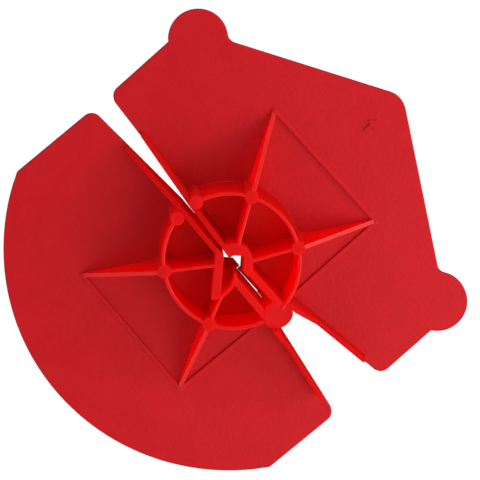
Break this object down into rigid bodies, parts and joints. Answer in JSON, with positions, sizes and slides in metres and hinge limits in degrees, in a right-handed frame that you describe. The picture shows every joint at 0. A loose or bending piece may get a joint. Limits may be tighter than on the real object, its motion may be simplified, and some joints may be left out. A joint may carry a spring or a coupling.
{
  "type": "wall tie insulation retaining clip",
  "caption": "Moulded plastic retaining clip: a roof-shaped and a round plate joined at a ribbed sprung hub whose jaws grip a cavity-wall tie and hold insulation.",
  "frame": {"origin": "axis of the gripped tie at the clip's flat back face", "axes": "+Z along the tie, from the flat back face towards the ribbed side; +Y towards the roof peak, which is fitted upwards; +X from the open mouth towards the hinge"},
  "size_m": [0.085, 0.092, 0.0128],
  "materials": {
    "red_plastic": "satin, fine moulded grain"
  },
  "bodies": {
    "upper_half": {"upper_plate": "red_plastic", "upper_mouth_rib": "red_plastic", "upper_gap_rib": "red_plastic", "upper_jaw": "red_plastic", "upper_hinge_arm": "red_plastic", "upper_ring_left": "red_plastic", "upper_ring_middle": "red_plastic", "upper_ring_right": "red_plastic", "upper_spoke_left": "red_plastic", "upper_spoke_right": "red_plastic", "upper_gusset_left": "red_plastic", "upper_gusset_right": "red_plastic", "upper_post_left": "red_plastic", "upper_post_right": "red_plastic", "upper_post_mouth": "red_plastic", "upper_bead_level": "red_plastic", "upper_bead_side": "red_plastic", "up_arrow": "red_plastic", "hinge_post": "red_plastic"},
    "lower_half": {"lower_plate": "red_plastic", "lower_mouth_rib": "red_plastic", "lower_gap_rib": "red_plastic", "lower_jaw": "red_plastic", "lower_hinge_arm": "red_plastic", "lower_ring_left": "red_plastic", "lower_ring_middle": "red_plastic", "lower_ring_right": "red_plastic", "lower_spoke_left": "red_plastic", "lower_spoke_right": "red_plastic", "lower_gusset_left": "red_plastic", "lower_gusset_right": "red_plastic", "lower_post_left": "red_plastic", "lower_post_right": "red_plastic", "lower_post_mouth": "red_plastic", "lower_bead_level": "red_plastic", "lower_bead_side": "red_plastic"}
  },
  "joints": [
    {"name": "pinch_hinge", "type": "hinge", "parent": "upper_half", "child": "lower_half", "pos_m": [0.0147, -0.0001, 0.0064], "axis": [0, 0, 1], "range_deg": [0, 15], "stiffness_Nm_per_rad": 0.3}
  ]
}
